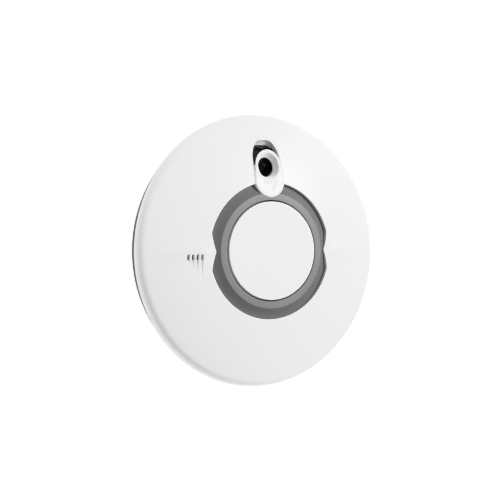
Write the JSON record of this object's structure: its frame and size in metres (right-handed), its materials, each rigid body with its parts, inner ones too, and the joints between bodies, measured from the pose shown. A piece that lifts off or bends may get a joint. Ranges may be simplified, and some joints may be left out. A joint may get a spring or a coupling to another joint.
{
  "type": "heat detector",
  "caption": "Round domed battery heat alarm with a hooded sensor nose, a large test button in a grey trim ring, and a twist-on mounting plate.",
  "frame": {"origin": "centre of the mounting plate's back face, where it meets the wall or ceiling", "axes": "+Z out of the front of the alarm, +Y towards the sensor nose, +X to the right of it seen from the front"},
  "size_m": [0.135, 0.135, 0.0281],
  "materials": {
    "white_plastic": "fine moulded satin",
    "button_white": "fine moulded satin",
    "ring_grey": "satin grey",
    "charcoal_plastic": "matt charcoal",
    "black_plastic": "matt black",
    "clear_plastic": "polished clear acrylic",
    "led_red": "tinted epoxy",
    "board_green": "solder mask",
    "steel": "zinc plated",
    "tinned": "tinned",
    "brass": "rolled brass",
    "ceramic": "silvered ceramic",
    "cell_wrap": "plain shrink wrap",
    "ferrite": "pressed ferrite",
    "capacitor_can": "drawn aluminium",
    "chip_black": "moulded epoxy"
  },
  "bodies": {
    "mounting_plate": {"mounting_plate": "charcoal_plastic"},
    "alarm_head": {"rear_housing": "charcoal_plastic", "front_cover": "white_plastic", "nose_cowl": "white_plastic", "trim_ring": "ring_grey", "button_spring": "steel", "main_board": "board_green", "tact_switch": "black_plastic", "status_led": "led_red", "light_pipe": "clear_plastic", "sounder_base": "black_plastic", "sounder_cap": "black_plastic", "sounder_contacts": "tinned", "piezo_disc": "brass", "piezo_ceramic": "ceramic", "battery_cell": "cell_wrap", "battery_tabs": "tinned", "microcontroller": "chip_black", "step_up_coil": "ferrite", "reservoir_capacitor": "capacitor_can", "chip_parts": "ceramic", "thermistor_bead": "black_plastic", "thermistor_leads": "tinned", "sensor_cup": "black_plastic", "board_screws": "steel", "housing_screws": "steel", "slide_switch": "tinned"},
    "test_button": {"test_button": "button_white"},
    "switch_plunger": {"switch_plunger": "black_plastic"},
    "slide_knob": {"slide_knob": "black_plastic"}
  },
  "joints": [
    {"name": "head_twist", "type": "hinge", "parent": "mounting_plate", "child": "alarm_head", "pos_m": [0, 0, 0], "axis": [0, 0, 1], "range_deg": [0, 20]},
    {"name": "button_press", "type": "slide", "parent": "alarm_head", "child": "test_button", "axis": [0, 0, -1], "range_m": [0, 0.001], "stiffness_N_per_m": 500, "springref_m": -0.001, "deforming": ["button_spring"]},
    {"name": "plunger_press", "type": "slide", "parent": "alarm_head", "child": "switch_plunger", "axis": [0, 0, -1], "range_m": [0, 0.001]},
    {"name": "battery_switch", "type": "slide", "parent": "alarm_head", "child": "slide_knob", "axis": [1, 0, 0], "range_m": [0, 0.002]}
  ],
  "couplings": [
    {"joint": "plunger_press", "follows": "button_press", "ratio": 1}
  ]
}
